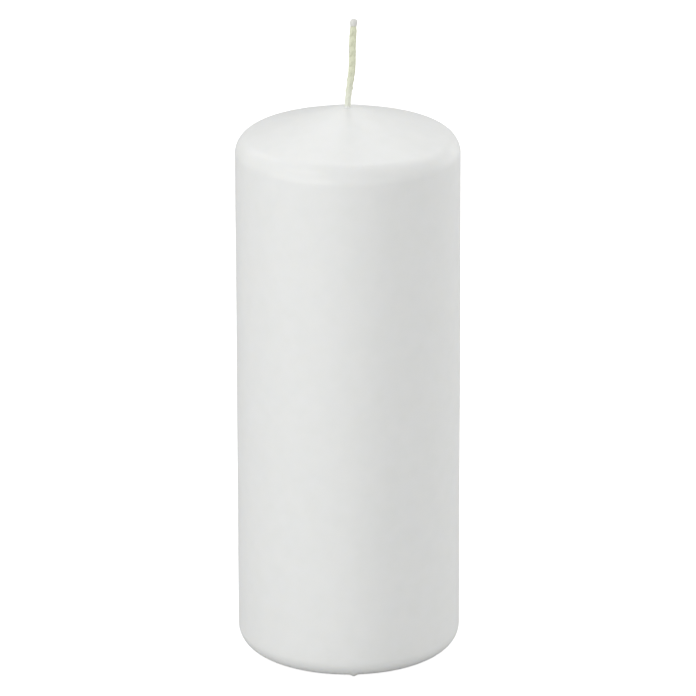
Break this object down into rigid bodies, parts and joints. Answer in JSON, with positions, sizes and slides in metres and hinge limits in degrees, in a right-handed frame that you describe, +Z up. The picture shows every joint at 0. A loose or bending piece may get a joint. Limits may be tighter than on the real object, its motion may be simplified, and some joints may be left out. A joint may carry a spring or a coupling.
{
  "type": "unity candle",
  "caption": "Plain white wax pillar candle with a low conical crown, rounded shoulder and foot, and a plaited cotton wick that stands up from the middle and leans.",
  "frame": {"origin": "centre of the foot, on the surface that the candle stands on", "axes": "+Z up along the candle's axis; -Y is the front of the picture's view; the wick leans towards +X"},
  "size_m": [0.08, 0.08, 0.2345],
  "materials": {
    "coat_wax": "satin",
    "core_wax": "matte",
    "seal_wax": "satin",
    "waxed_cotton": "matte",
    "tinplate": "satin"
  },
  "bodies": {
    "root": {"overdip_coat": "coat_wax", "wax_core": "core_wax", "wick_strand_a": "waxed_cotton", "wick_strand_b": "waxed_cotton", "wick_strand_c": "waxed_cotton", "wick_tip_seal": "seal_wax", "wick_sustainer": "tinplate", "base_seal": "seal_wax"}
  },
  "joints": []
}
